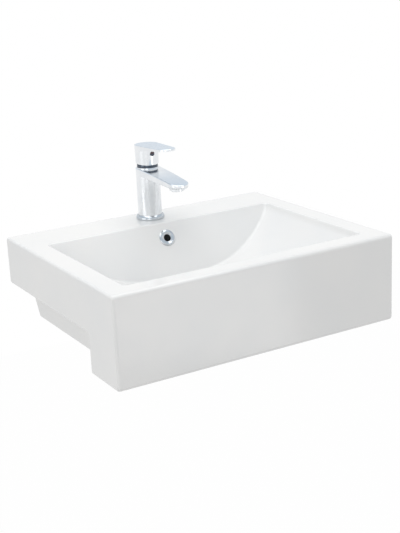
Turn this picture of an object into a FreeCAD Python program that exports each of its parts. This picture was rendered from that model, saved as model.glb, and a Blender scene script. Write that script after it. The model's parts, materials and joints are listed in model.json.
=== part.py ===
import FreeCAD, Part
import math
import os

# Semi-recessed washbasin with a single-lever mixer tap and a push-open waste.
# Millimetres. X runs along the wall to the right, Y into the wall, Z up.
# The origin lies on the wall face, midway between the two wall bolts.

V = FreeCAD.Vector
X_AXIS = V(1, 0, 0)
Y_AXIS = V(0, 1, 0)
Z_AXIS = V(0, 0, 1)
REACH = 1000.0  # longer than the basin, for cuts that run right through

# Basin outside
BASIN_WIDTH = 555.0
BASIN_DEPTH = 440.0
RIM_HEIGHT = 89.0  # side and back panels, rim top to bench seat
APRON_HEIGHT = 160.0
APRON_DEPTH = 100.0
SKIRT_HEIGHT = 140.0  # rim top to the foot of the drop-in skirts
SKIRT_INSET = 23.5  # side panel to skirt
SKIRT_REAR_TOP = 47.0  # wall to the skirt's rear edge at the bench seat
SKIRT_REAR_SLANT = 30.0  # degrees from upright
PROFILE_ROUND = 6.5
INNER_ROUND = 7.5
EDGE_ROUND = 5.0
SKIRT_ROUND = 4.0

# Basin walls
CHINA_WALL = 12.0
BACK_PANEL = 12.0
DECK_THICK = 15.0

# Bowl
SIDE_RIM = 41.0
FRONT_RIM = 39.0
BACK_DECK = 100.0
BACK_SLANT = 29.0  # degrees from upright
FRONT_SLANT = 12.0
LIP_DEPTH = 5.0
LIP_ANGLE = 68.0  # slopes from level, from the rim down to the floor
LIP_BLEND = 25.0
RAMP_TOP_ANGLE = 47.0
RAMP_RADIUS = 255.0
RAMP_FOOT_ANGLE = 11.0
CREASE_ROUND = 7.0
RIM_ROUND = 3.5

# Wall bolts
BOLT_DROP = 45.0  # rim top to the bolt line
BOLT_SPACING = 280.0
BOLT_HOLE_RADIUS = 7.0

# Overflow
OVERFLOW_DROP = 27.0
OVERFLOW_HOLE_RADIUS = 11.0
OVERFLOW_FLANGE_RADIUS = 16.0
OVERFLOW_FLANGE_THICK = 2.4
OVERFLOW_BORE_RADIUS = 7.2
OVERFLOW_SLEEVE_FIT = 0.2
OVERFLOW_SLEEVE_PROUD = 3.0
DUCT_WIDTH = 30.0
DUCT_DEPTH = 9.0
DUCT_HEIGHT = 14.0
DUCT_WALL = 8.0

# Waste
WASTE_SETBACK = 265.0  # wall to the waste axis
WASTE_HOLE_RADIUS = 22.5
WASTE_BOSS_WALL = 11.0
WASTE_BOSS_HEIGHT = 45.0
FLANGE_RADIUS = 32.0
FLANGE_THICK = 3.0
FLANGE_RECESS_DEPTH = 4.0
FLANGE_RECESS_ROOM = 1.5
FLANGE_SEAL_THICK = 2.0
WASTE_BORE_RADIUS = 17.5
WASTE_BARREL_RADIUS = 20.4
TAIL_RADIUS = 20.955  # G 1 1/4 thread, outside
TAIL_LENGTH = 32.0
TAIL_GROOVE = 2.0
TAIL_GROOVE_DEPTH = 0.9
OVERFLOW_SLOT_WIDTH = 12.0
OVERFLOW_SLOT_COUNT = 3
SPIDER_HUB_RADIUS = 12.0
SPIDER_HEIGHT = 6.0
SPIDER_SPOKE_WIDTH = 4.0
SPIDER_DROP = 30.0  # floor to the top of the spider
LOWER_SEAL_RADIUS = 29.0
LOWER_SEAL_THICK = 6.0
SLIP_WASHER_RADIUS = 27.5
SLIP_WASHER_THICK = 2.0
BACK_NUT_FLATS = 52.0
BACK_NUT_HEIGHT = 9.0
THREAD_FIT = 0.2

# Push-open plug
PLUG_TRAVEL = 8.0
PLUG_SEAT_GAP = 0.4
PLUG_CAP_RADIUS = 29.0
PLUG_CAP_THICK = 3.5
PLUG_CAP_CROWN = 2.0
PLUG_SEAL_RADIUS = 24.0
PLUG_SEAL_WIDTH = 4.5
PLUG_SEAL_THICK = 2.5
PLUG_HUB_RADIUS = 8.0
STEM_RADIUS = 4.0
STEM_FIT = 0.06
PISTON_RADIUS = 6.6
PISTON_THICK = 3.0
BARREL_WALL = 1.8
BARREL_CAP = 4.0
BARREL_FLOOR = 2.5
PISTON_FIT = 0.35
SPRING_WIRE_RADIUS = 0.45
SPRING_RADIUS = 5.4
SPRING_TURNS = 6
SPRING_LENGTH = 20.0

# Tap outside, heights from the deck
TAP_SETBACK = 52.0  # wall to the tap axis
TAP_HOLE_RADIUS = 17.5
TAP_RADIUS = 23.0
BASE_RING_RADIUS = 27.3
BASE_RING_HEIGHT = 9.0
BASE_RING_LIP = 1.6
BASE_SEAL_THICK = 1.5
BASE_RING_FIT = 0.2
SPOUT_BACK_HEIGHT = 101.0
SPOUT_REACH = 135.0  # tap axis to the tip
SPOUT_ROOT_SLOPE = 2.0  # degrees down, at the back of the body
SPOUT_TIP_SLOPE = 8.0
SPOUT_TIP_RADIUS = 19.0
SPOUT_ROOT_THICK = 14.0
SPOUT_TIP_THICK = 8.5
SPOUT_EDGE_ROUND = 1.6
SPOUT_NOSE_ROUND = 4.0  # underside of the tip and sides
TURRET_RADIUS = 21.0
TURRET_HEIGHT = 101.5

# Tap waterways
INLET_SPREAD = 7.5  # each inlet from the middle
INLET_SETBACK = 3.5  # behind the axis
INLET_RADIUS = 5.0  # M10 hose thread
INLET_DEPTH = 14.0
PORT_RADIUS = 2.6
OUTLET_OFFSET = 7.5  # in front of the axis
RISER_OFFSET = 17.8
RISER_RADIUS = 3.0
RISER_FOOT = 7.0  # below the chamber floor
CHANNEL_ROOF = 3.0
CHANNEL_HEIGHT = 4.5
CHANNEL_WIDTH = 14.0

# Aerator
AERATOR_OFFSET = 23.0  # behind the spout tip
AERATOR_BOSS_RADIUS = 14.0
AERATOR_BOSS_HEIGHT = 5.0  # below the spout
AERATOR_RADIUS = 11.8
AERATOR_THREAD_FIT = 0.2
AERATOR_WALL = 1.6
AERATOR_HEIGHT = 7.0
AERATOR_PROUD = 1.6
AERATOR_WASHER_THICK = 1.5
AERATOR_INSERT_FIT = 0.15
AERATOR_INSERT_HEIGHT = 5.0
AERATOR_HOLE_RADIUS = 1.0
AERATOR_HOLE_RINGS = ((6, 3.4), (12, 7.0))  # holes in each ring, ring radius

# Cartridge
PIVOT_HEIGHT = 104.0  # lever pin above the deck
CARTRIDGE_RADIUS = 12.5
CHAMBER_FIT = 0.3
CHAMBER_HEIGHT = 27.5  # lever pin to the chamber floor
CARTRIDGE_BASE_THICK = 4.5
PORT_SEAL_RADIUS = 3.9
PORT_SEAL_THICK = 1.5
DISC_THICK = 4.0
MOVING_DISC_THICK = 3.5
DISC_RADIUS = 11.6
MOVING_DISC_RADIUS = 8.0
MIXING_POCKET_DEPTH = 1.8
HOUSING_BORE_RADIUS = 11.8
HOUSING_ROOF = 1.4
HOUSING_ROOF_DROP = 7.5  # lever pin to the top of the housing's shoulder
HOUSING_NECK_RADIUS = 10.5
HOUSING_NECK_DROP = 1.0  # lever pin to the top of the neck
ROTOR_RADIUS = 8.3
ROTOR_FIT = 0.06
ROTOR_FOOT_DROP = 7.8
ROTOR_HEAD_RISE = 6.0
ROTOR_SLOT_LENGTH = 14.4
LEVER_PIN_RADIUS = 1.5
LEVER_PIN_FIT = 0.05
BLADE_THICK = 5.0
BLADE_WIDTH = 6.8
BLADE_SIDE_ROOM = 0.25
FINGER_DROP = 11.0  # lever pin to the finger's centre
FINGER_RADIUS = 2.2
FINGER_ROOM = 0.25
FINGER_NECK = 2.2
CARRIER_TOP_DROP = 9.2
CARRIER_SLOT_FLOOR = 0.6  # room below the finger
STUB_SIZE = 8.0
STUB_START = 9.0  # above the lever pin
STUB_END = 30.0
STUB_FIT = 0.15
NUT_RADIUS = 14.2
NUT_HEIGHT = 8.0
NUT_SLOT_WIDTH = 4.0
NUT_SLOT_DEPTH = 2.5
NUT_ROOM = 3.0  # thread run-out below the nut

# Dome and handle
DOME_RADIUS = 20.2
DOME_WALL = 1.3
DOME_MOUTH_RADIUS = 14.0
DOME_LIP_THICK = 1.5
HANDLE_SKIRT_ROOM = 0.4
HANDLE_RIM_RADIUS = 21.9
HANDLE_TOP_RADIUS = 22.8
HANDLE_TOP_HEIGHT = 142.0  # on the axis
HANDLE_RIM_FRONT = 107.0
HANDLE_RIM_REAR = 111.3
LEVER_REACH = 95.0
LEVER_RISE = 6.5  # degrees
LEVER_TIP_RADIUS = 17.0
LEVER_ROOT_THICK = 9.0
LEVER_TIP_THICK = 4.0
HANDLE_EDGE_ROUND = 1.2
SCREW_RISE = 25.0  # lever pin to the grub screw
SCREW_RADIUS = 2.5
SCREW_LENGTH = 8.0
SCREW_FIT = 0.1
SCREW_KEY_FLATS = 2.5
INDEX_RADIUS = 4.5
INDEX_DEPTH = 5.0
INDEX_FIT = 0.15

# Fixing under the deck
STUD_OFFSET = 13.0  # in front of the tap axis
STUD_RADIUS = 4.0
STUD_LENGTH = 85.0
STUD_SUNK = 18.0  # into the tap body
STUD_FIT = 0.15
HORSESHOE_RADIUS = 21.5
HORSESHOE_MOUTH_RADIUS = 14.0
HORSESHOE_MOUTH_SETBACK = 6.5
HORSESHOE_GAP = 24.0
GASKET_THICK = 3.0
PLATE_THICK = 2.5
STUD_NUT_FLATS = 13.0
STUD_NUT_HEIGHT = 20.0

# Levels and places worked out from the sizes above
RIM_Z = BOLT_DROP
SEAT_Z = RIM_Z - RIM_HEIGHT
APRON_Z = RIM_Z - APRON_HEIGHT
SKIRT_Z = RIM_Z - SKIRT_HEIGHT
DECK_UNDER_Z = RIM_Z - DECK_THICK
HALF_WIDTH = BASIN_WIDTH / 2
SKIRT_HALF = HALF_WIDTH - SKIRT_INSET
OPENING_HALF = HALF_WIDTH - SIDE_RIM
FRONT_Y = -BASIN_DEPTH
APRON_REAR_Y = FRONT_Y + APRON_DEPTH
TAP_Y = -TAP_SETBACK
WASTE_Y = -WASTE_SETBACK
TAP_AXIS = V(0, TAP_Y, 0)
WASTE_AXIS = V(0, WASTE_Y, 0)
PIVOT_Z = RIM_Z + PIVOT_HEIGHT
PIVOT = V(0, TAP_Y, PIVOT_Z)


# Shape helpers

def box(x0, x1, y0, y1, z0, z1):
    return Part.makeBox(x1 - x0, y1 - y0, z1 - z0, V(x0, y0, z0))


def rod(radius, start, direction, length):
    return Part.makeCylinder(radius, length, start, direction)


def upright(radius, x, y, z0, z1):
    return Part.makeCylinder(radius, z1 - z0, V(x, y, z0), Z_AXIS)


def ring(outer, inner, centre, z0, z1):
    """Plain upright ring about a vertical axis."""
    disc = upright(outer, centre.x, centre.y, z0, z1)
    return disc.cut(upright(inner, centre.x, centre.y, z0, z1))


def outline(start, *steps):
    """Closed wire: a step is a point for a straight run, or (middle, end) for an arc."""
    edges = []
    here = start
    for step in steps + (start,):
        if isinstance(step, tuple):
            middle, end = step
            edges.append(Part.Arc(here, middle, end).toShape())
        else:
            end = step
            if here.distanceToPoint(end) > 1e-6:
                edges.append(Part.makeLine(here, end))
        here = end
    return Part.Wire(edges)


def rounded_outline(corners):
    """Closed wire of straight runs with each (point, radius) corner rounded."""
    ends = []
    for i, (corner, radius) in enumerate(corners):
        back = (corners[i - 1][0] - corner).normalize()
        ahead = (corners[(i + 1) % len(corners)][0] - corner).normalize()
        half = back.getAngle(ahead) / 2
        run = radius / math.tan(half)
        inward = (back + ahead).normalize()
        middle = corner + inward * (radius / math.sin(half) - radius)
        ends.append((corner + back * run, middle, corner + ahead * run))
    edges = []
    for i, (enter, middle, leave) in enumerate(ends):
        edges.append(Part.makeLine(ends[i - 1][2], enter))
        edges.append(Part.Arc(enter, middle, leave).toShape())
    return Part.Wire(edges)


def prism(wire, travel):
    return Part.Face(wire).extrude(travel)


def turned(centre, start, *steps):
    """Solid of revolution about an upright axis, from an outline of V(radius, 0, z) points."""
    solid = Part.Face(outline(start, *steps)).revolve(V(0, 0, 0), Z_AXIS, 360)
    return solid.translated(V(centre.x, centre.y, 0))


def hexagon(flats, centre, z0, z1):
    corner = flats / math.sqrt(3)
    points = []
    for i in range(6):
        angle = math.radians(60 * i)
        points.append(V(centre.x + corner * math.cos(angle), centre.y + corner * math.sin(angle), z0))
    return prism(outline(*points), V(0, 0, z1 - z0))


def rounded_edges(solid, radius, wanted):
    """Round every edge for which wanted(edge) holds."""
    return solid.makeFillet(radius, [edge for edge in solid.Edges if wanted(edge)])


def middle_of(edge):
    return edge.valueAt((edge.FirstParameter + edge.LastParameter) / 2)


# Basin

def bowl_back_y(z, grow=0.0):
    """Where the bowl's slanted back wall is at a height, pushed out by grow."""
    slant = math.radians(BACK_SLANT)
    return -BACK_DECK - (RIM_Z - z) * math.tan(slant) + grow / math.cos(slant)


def bowl_front_y(z, grow=0.0):
    slant = math.radians(FRONT_SLANT)
    return FRONT_Y + FRONT_RIM + (RIM_Z - z) * math.tan(slant) - grow / math.cos(slant)


def bowl_arcs():
    """Centres and radii of the right-hand lip blend and ramp and of the floor, from the rim down."""
    lip, top, foot = (math.radians(a) for a in (LIP_ANGLE, RAMP_TOP_ANGLE, RAMP_FOOT_ANGLE))
    lip_end = V(OPENING_HALF - LIP_DEPTH / math.tan(lip), 0, RIM_Z - LIP_DEPTH)
    blend = lip_end - on_arc(LIP_BLEND, lip)
    ramp = blend + on_arc(LIP_BLEND, top) - on_arc(RAMP_RADIUS, top)
    ramp_end = ramp + on_arc(RAMP_RADIUS, foot)
    floor_radius = ramp_end.x / math.sin(foot)
    floor = ramp_end - on_arc(floor_radius, foot)
    return blend, ramp, floor, floor_radius


def on_arc(radius, slope):
    """From an arc's centre to its point where the bowl has this slope."""
    return V(radius * math.sin(slope), 0, -radius * math.cos(slope))


FLOOR_Z = bowl_arcs()[2].z - bowl_arcs()[3]
BOSS_Z = FLOOR_Z - WASTE_BOSS_HEIGHT
OVERFLOW_Z = RIM_Z - OVERFLOW_DROP
OVERFLOW_CENTRE = V(0, bowl_back_y(OVERFLOW_Z), OVERFLOW_Z)
OVERFLOW_OUT = V(0, -math.cos(math.radians(BACK_SLANT)), math.sin(math.radians(BACK_SLANT)))


def bowl_cross_section(grow):
    """The bowl seen from the front: two ramps and the floor, with open top."""
    blend, ramp, floor, floor_radius = bowl_arcs()
    lip, top, foot = (math.radians(a) for a in (LIP_ANGLE, RAMP_TOP_ANGLE, RAMP_FOOT_ANGLE))
    lip_end = blend + on_arc(LIP_BLEND + grow, lip)
    above = RIM_Z + DECK_THICK - lip_end.z
    right = [
        lip_end + V(above / math.tan(lip), 0, above),
        lip_end,
        blend + on_arc(LIP_BLEND + grow, (lip + top) / 2),
        blend + on_arc(LIP_BLEND + grow, top),
        ramp + on_arc(RAMP_RADIUS + grow, (top + foot) / 2),
        ramp + on_arc(RAMP_RADIUS + grow, foot),
    ]
    left = [V(-p.x, p.y, p.z) for p in right]
    bottom = floor + on_arc(floor_radius + grow, 0)
    return outline(
        right[0], right[1], (right[2], right[3]), (right[4], right[5]),
        (bottom, left[5]), (left[4], left[3]), (left[2], left[1]), left[0],
    )


def bowl_form(grow):
    """Space inside the bowl, with every wall pushed out by grow."""
    across = prism(bowl_cross_section(grow), V(0, -REACH, 0))
    high = RIM_Z + 2 * DECK_THICK
    low = FLOOR_Z - 2 * CHINA_WALL
    side = outline(
        V(-REACH / 2, bowl_back_y(high, grow), high),
        V(-REACH / 2, bowl_back_y(low, grow), low),
        V(-REACH / 2, bowl_front_y(low, grow), low),
        V(-REACH / 2, bowl_front_y(high, grow), high),
    )
    return across.common(prism(side, V(REACH, 0, 0)))


def bowl_space():
    """The bowl's inside with rounded creases where the ramps meet the back and front walls."""
    def is_crease(edge):
        p = middle_of(edge)
        at_wall = min(abs(p.y - bowl_back_y(p.z)), abs(p.y - bowl_front_y(p.z))) < 1e-4
        return at_wall and p.z < RIM_Z + DECK_THICK - 1e-3
    return rounded_edges(bowl_form(0.0), CREASE_ROUND, is_crease)


def basin_outside():
    """Rim, panels and apron as one side profile run across the basin, with rounded ends."""
    x = -HALF_WIDTH
    profile = rounded_outline([
        (V(x, 0, RIM_Z), PROFILE_ROUND),
        (V(x, FRONT_Y, RIM_Z), PROFILE_ROUND),
        (V(x, FRONT_Y, APRON_Z), PROFILE_ROUND),
        (V(x, APRON_REAR_Y, APRON_Z), PROFILE_ROUND),
        (V(x, APRON_REAR_Y, SEAT_Z), INNER_ROUND),
        (V(x, 0, SEAT_Z), PROFILE_ROUND),
    ])
    slab = prism(profile, V(BASIN_WIDTH, 0, 0))
    return rounded_edges(slab, EDGE_ROUND, lambda e: abs(abs(middle_of(e).x) - HALF_WIDTH) < 1e-6)


def skirts():
    """Drop-in block under the rim, hollowed later into two skirts with slanted rear edges."""
    x = -SKIRT_HALF
    rear_foot = -SKIRT_REAR_TOP - (SEAT_Z - SKIRT_Z) * math.tan(math.radians(SKIRT_REAR_SLANT))
    top = SEAT_Z + CHINA_WALL
    rear_head = -SKIRT_REAR_TOP + CHINA_WALL * math.tan(math.radians(SKIRT_REAR_SLANT))
    profile = rounded_outline([
        (V(x, rear_head, top), SKIRT_ROUND),
        (V(x, FRONT_Y + CHINA_WALL, top), SKIRT_ROUND),
        (V(x, FRONT_Y + CHINA_WALL, SKIRT_Z), SKIRT_ROUND),
        (V(x, rear_foot, SKIRT_Z), 1.5 * SKIRT_ROUND),
    ])
    block = prism(profile, V(2 * SKIRT_HALF, 0, 0))
    return rounded_edges(block, 0.75 * SKIRT_ROUND, lambda e: abs(abs(middle_of(e).x) - SKIRT_HALF) < 1e-6)


def duct_profile(wall):
    """Overflow duct seen from the side: down behind the bowl, then forward to the waste."""
    top = OVERFLOW_Z + OVERFLOW_HOLE_RADIUS + wall
    ceiling = FLOOR_Z - CHINA_WALL
    floor = ceiling - DUCT_HEIGHT - wall
    front = CHINA_WALL
    rear = CHINA_WALL + DUCT_DEPTH + wall
    return outline(
        V(0, bowl_back_y(top, rear), top),
        V(0, bowl_back_y(top, front), top),
        V(0, bowl_back_y(ceiling, front), ceiling),
        V(0, WASTE_Y, ceiling),
        V(0, WASTE_Y, floor),
        V(0, bowl_back_y(floor, rear), floor),
    )


def duct(wall):
    width = DUCT_WIDTH + 2 * wall
    return prism(duct_profile(wall).translated(V(-width / 2, 0, 0)), V(width, 0, 0))


def underside():
    """Open space below the deck and around the bowl, between the skirts and inside the apron."""
    inner = SKIRT_HALF - CHINA_WALL
    ear = HALF_WIDTH - CHINA_WALL
    low = APRON_Z - CHINA_WALL
    front = FRONT_Y + CHINA_WALL
    bay = box(-inner, inner, front, -BACK_PANEL, low, DECK_UNDER_Z)
    ears = box(-ear, ear, front, APRON_REAR_Y - CHINA_WALL, low, SEAT_Z)
    boss = upright(WASTE_HOLE_RADIUS + WASTE_BOSS_WALL, 0, WASTE_Y, BOSS_Z, FLOOR_Z)
    return bay.fuse(ears).cut(bowl_form(CHINA_WALL)).cut(boss).cut(duct(DUCT_WALL))


def basin_body():
    body = basin_outside().fuse(skirts()).removeSplitter()
    body = body.cut(bowl_space()).cut(underside())
    body = body.cut(duct(0.0))
    body = body.cut(rod(OVERFLOW_HOLE_RADIUS, OVERFLOW_CENTRE + OVERFLOW_OUT * CHINA_WALL,
                        -OVERFLOW_OUT, 2 * CHINA_WALL + DUCT_DEPTH / 2))
    body = body.cut(upright(TAP_HOLE_RADIUS, 0, TAP_Y, DECK_UNDER_Z - CHINA_WALL, RIM_Z + CHINA_WALL))
    body = body.cut(upright(WASTE_HOLE_RADIUS, 0, WASTE_Y, BOSS_Z - CHINA_WALL, RIM_Z))
    recess = FLANGE_RADIUS + FLANGE_RECESS_ROOM
    body = body.cut(upright(recess, 0, WASTE_Y, FLOOR_Z - FLANGE_RECESS_DEPTH, RIM_Z))
    for side in (-1, 1):
        start = V(side * BOLT_SPACING / 2, -2 * BACK_PANEL, 0)
        body = body.cut(rod(BOLT_HOLE_RADIUS, start, Y_AXIS, 3 * BACK_PANEL))

    def is_opening_edge(edge):
        p = middle_of(edge)
        inside = abs(p.x) < OPENING_HALF + 1 and -BACK_DECK + 1 > p.y > FRONT_Y + FRONT_RIM - 1
        return inside and all(abs(v.Z - RIM_Z) < 1e-6 for v in edge.Vertexes)
    return rounded_edges(body.removeSplitter(), RIM_ROUND, is_opening_edge)


def overflow_ring():
    """Dished trim ring on a plain sleeve, square to the bowl's back wall."""
    sleeve = OVERFLOW_HOLE_RADIUS - OVERFLOW_SLEEVE_FIT
    depth = CHINA_WALL + OVERFLOW_SLEEVE_PROUD
    rim = 0.35 * OVERFLOW_FLANGE_THICK
    crown = (OVERFLOW_FLANGE_RADIUS + OVERFLOW_BORE_RADIUS) / 2
    shape = turned(
        V(0, 0, 0),
        V(OVERFLOW_BORE_RADIUS, 0, -depth),
        V(sleeve, 0, -depth),
        V(sleeve, 0, 0),
        V(OVERFLOW_FLANGE_RADIUS, 0, 0),
        V(OVERFLOW_FLANGE_RADIUS, 0, rim),
        (V(crown + 0.5 * (OVERFLOW_FLANGE_RADIUS - crown), 0, 0.85 * OVERFLOW_FLANGE_THICK),
         V(crown, 0, OVERFLOW_FLANGE_THICK)),
        V(OVERFLOW_BORE_RADIUS, 0, 0.3 * OVERFLOW_FLANGE_THICK),
    )
    turn = FreeCAD.Rotation(Z_AXIS, OVERFLOW_OUT)
    return shape.transformed(FreeCAD.Placement(OVERFLOW_CENTRE, turn).toMatrix())


# Waste

SEAL_TOP_Z = FLOOR_Z - FLANGE_RECESS_DEPTH + FLANGE_SEAL_THICK
FLANGE_TOP_Z = SEAL_TOP_Z + FLANGE_THICK
LOWER_SEAL_Z = BOSS_Z - LOWER_SEAL_THICK
SLIP_WASHER_Z = LOWER_SEAL_Z - SLIP_WASHER_THICK
BACK_NUT_Z = SLIP_WASHER_Z - BACK_NUT_HEIGHT
TAIL_TOP_Z = BACK_NUT_Z - TAIL_GROOVE
TAIL_Z = TAIL_TOP_Z - TAIL_LENGTH
SPIDER_TOP_Z = FLOOR_Z - SPIDER_DROP
SPIDER_Z = SPIDER_TOP_Z - SPIDER_HEIGHT
BARREL_BORE_RADIUS = PISTON_RADIUS + PISTON_FIT
BARREL_RADIUS = BARREL_BORE_RADIUS + BARREL_WALL
CAP_SEAT_Z = FLANGE_TOP_Z + PLUG_SEAT_GAP + PLUG_SEAL_THICK  # underside of the shut cap
CAP_Z = CAP_SEAT_Z + PLUG_TRAVEL
BARREL_TOP_Z = SPIDER_TOP_Z + 0.5 * BARREL_CAP
PISTON_TOP_Z = BARREL_TOP_Z - BARREL_CAP - PISTON_FIT
PISTON_Z = PISTON_TOP_Z - PISTON_THICK
SPRING_FOOT_Z = PISTON_Z - SPRING_LENGTH


def waste_body():
    """Flanged barrel with overflow slots, a spider for the plug and a threaded tail."""
    dish = WASTE_BORE_RADIUS + 0.35 * (FLANGE_RADIUS - WASTE_BORE_RADIUS)
    groove = TAIL_RADIUS - TAIL_GROOVE_DEPTH
    body = turned(
        WASTE_AXIS,
        V(WASTE_BORE_RADIUS, 0, TAIL_Z),
        V(TAIL_RADIUS, 0, TAIL_Z),
        V(TAIL_RADIUS, 0, TAIL_TOP_Z),
        V(groove, 0, TAIL_TOP_Z),
        V(groove, 0, BACK_NUT_Z),
        V(TAIL_RADIUS, 0, BACK_NUT_Z),
        V(TAIL_RADIUS, 0, BOSS_Z),
        V(WASTE_BARREL_RADIUS, 0, BOSS_Z),
        V(WASTE_BARREL_RADIUS, 0, SEAL_TOP_Z),
        V(FLANGE_RADIUS, 0, SEAL_TOP_Z),
        V(FLANGE_RADIUS, 0, SEAL_TOP_Z + 0.5 * FLANGE_THICK),
        (V(0.93 * FLANGE_RADIUS, 0, FLANGE_TOP_Z - 0.1 * FLANGE_THICK),
         V(0.8 * FLANGE_RADIUS, 0, FLANGE_TOP_Z)),
        V(dish, 0, FLANGE_TOP_Z),
        V(WASTE_BORE_RADIUS, 0, SEAL_TOP_Z - 0.5 * FLANGE_THICK),
    )
    slot_top = FLOOR_Z - CHINA_WALL
    slot = box(0, 2 * WASTE_BARREL_RADIUS, -OVERFLOW_SLOT_WIDTH / 2, OVERFLOW_SLOT_WIDTH / 2,
               slot_top - DUCT_HEIGHT, slot_top)
    spoke = box(0, WASTE_BORE_RADIUS + 0.5, -SPIDER_SPOKE_WIDTH / 2, SPIDER_SPOKE_WIDTH / 2,
                SPIDER_Z, SPIDER_TOP_Z)
    hub = ring(SPIDER_HUB_RADIUS, BARREL_RADIUS + THREAD_FIT, WASTE_AXIS, SPIDER_Z, SPIDER_TOP_Z)
    bore = upright(BARREL_RADIUS + THREAD_FIT, 0, WASTE_Y, SPIDER_Z, SPIDER_TOP_Z)
    for i in range(OVERFLOW_SLOT_COUNT):
        angle = 90 + 360 * i / OVERFLOW_SLOT_COUNT
        body = body.cut(slot.rotated(V(0, 0, 0), Z_AXIS, angle).translated(WASTE_AXIS))
    for i in range(OVERFLOW_SLOT_COUNT):
        angle = 90 + 360 * (i + 0.5) / OVERFLOW_SLOT_COUNT
        body = body.fuse(spoke.rotated(V(0, 0, 0), Z_AXIS, angle).translated(WASTE_AXIS).cut(bore))
    return body.fuse(hub).removeSplitter()


def flange_seal():
    foot = SEAL_TOP_Z - FLANGE_SEAL_THICK
    return ring(0.92 * FLANGE_RADIUS, WASTE_HOLE_RADIUS, WASTE_AXIS, foot, SEAL_TOP_Z)


def lower_seal():
    """Tapered rubber seal pressed up against the boss by the back nut."""
    bore = TAIL_RADIUS + THREAD_FIT
    return turned(
        WASTE_AXIS,
        V(bore, 0, LOWER_SEAL_Z),
        V(SLIP_WASHER_RADIUS, 0, LOWER_SEAL_Z),
        V(LOWER_SEAL_RADIUS, 0, LOWER_SEAL_Z + 0.4 * LOWER_SEAL_THICK),
        V(LOWER_SEAL_RADIUS, 0, BOSS_Z),
        V(bore, 0, BOSS_Z),
    )


def slip_washer():
    return ring(SLIP_WASHER_RADIUS, TAIL_RADIUS + THREAD_FIT, WASTE_AXIS, SLIP_WASHER_Z, LOWER_SEAL_Z)


def back_nut():
    """Hexagon nut with its corners turned off on both faces."""
    nut = hexagon(BACK_NUT_FLATS, WASTE_AXIS, BACK_NUT_Z, SLIP_WASHER_Z)
    corner = BACK_NUT_FLATS / math.sqrt(3)
    shaped = turned(
        WASTE_AXIS,
        V(0, 0, BACK_NUT_Z),
        V(BACK_NUT_FLATS / 2, 0, BACK_NUT_Z),
        V(corner, 0, BACK_NUT_Z + 0.2 * BACK_NUT_HEIGHT),
        V(corner, 0, SLIP_WASHER_Z - 0.2 * BACK_NUT_HEIGHT),
        V(BACK_NUT_FLATS / 2, 0, SLIP_WASHER_Z),
        V(0, 0, SLIP_WASHER_Z),
    )
    bore = upright(TAIL_RADIUS + THREAD_FIT, 0, WASTE_Y, BACK_NUT_Z, SLIP_WASHER_Z)
    return nut.common(shaped).cut(bore)


def click_barrel():
    """Barrel screwed into the spider: holds the spring and guides the stem."""
    foot = SPRING_FOOT_Z - BARREL_FLOOR
    guide = STEM_RADIUS + STEM_FIT
    return turned(
        WASTE_AXIS,
        V(0, 0, foot),
        V(BARREL_RADIUS, 0, foot),
        V(BARREL_RADIUS, 0, SPIDER_TOP_Z),
        V(SPIDER_HUB_RADIUS, 0, SPIDER_TOP_Z),
        V(SPIDER_HUB_RADIUS, 0, BARREL_TOP_Z),
        V(guide, 0, BARREL_TOP_Z),
        V(guide, 0, BARREL_TOP_Z - BARREL_CAP),
        V(BARREL_BORE_RADIUS, 0, BARREL_TOP_Z - BARREL_CAP),
        V(BARREL_BORE_RADIUS, 0, SPRING_FOOT_Z),
        V(0, 0, SPRING_FOOT_Z),
    )


def biarc(p0, t0, p1, t1):
    """Two arcs from p0 to p1 that keep the unit tangents t0 and t1."""
    chord = p1 - p0
    both = t0 + t1
    spread = 2 * (1 - t0.dot(t1))
    reach = chord.dot(both)
    run = (-reach + math.sqrt(reach ** 2 + spread * chord.dot(chord))) / spread
    corner0 = p0 + t0 * run
    corner1 = p1 - t1 * run
    joint = (corner0 + corner1) * 0.5
    return [arc_by_corner(p0, corner0, joint), arc_by_corner(joint, corner1, p1)]


def arc_by_corner(start, corner, end):
    """Arc that leaves start towards corner and enters end from corner."""
    chord_middle = (start + end) * 0.5
    half_turn = (corner - start).getAngle(end - start)
    share = math.tan(half_turn / 2) / math.tan(half_turn)
    return Part.Arc(start, chord_middle + (corner - chord_middle) * share, end).toShape()


def click_spring():
    """Open coil between the barrel's floor and the piston, as quarter-turn biarcs."""
    coil_height = SPRING_LENGTH - 2 * SPRING_WIRE_RADIUS - 2 * PISTON_FIT
    pitch = coil_height / SPRING_TURNS
    foot = SPRING_FOOT_Z + SPRING_WIRE_RADIUS + PISTON_FIT
    lead = pitch / (2 * math.pi)
    points = []
    for i in range(4 * SPRING_TURNS + 1):
        turn = math.radians(90 * i)
        across, along = SPRING_RADIUS * math.cos(turn), SPRING_RADIUS * math.sin(turn)
        place = V(across, WASTE_Y + along, foot + lead * turn)
        heading = V(-along, across, lead).normalize()
        points.append((place, heading))
    edges = []
    for (p0, t0), (p1, t1) in zip(points, points[1:]):
        edges += biarc(p0, t0, p1, t1)
    section = Part.Wire(Part.makeCircle(SPRING_WIRE_RADIUS, points[0][0], points[0][1]))
    print("spring gap between turns", round(pitch - 2 * SPRING_WIRE_RADIUS, 2))
    return Part.Wire(edges).makePipeShell([section], True, False)


def plug_stem():
    """Stem with the piston that the spring lifts."""
    return turned(
        WASTE_AXIS,
        V(0, 0, PISTON_Z),
        V(PISTON_RADIUS, 0, PISTON_Z),
        V(PISTON_RADIUS, 0, PISTON_TOP_Z),
        V(STEM_RADIUS, 0, PISTON_TOP_Z),
        V(STEM_RADIUS, 0, CAP_Z),
        V(0, 0, CAP_Z),
    )


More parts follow.
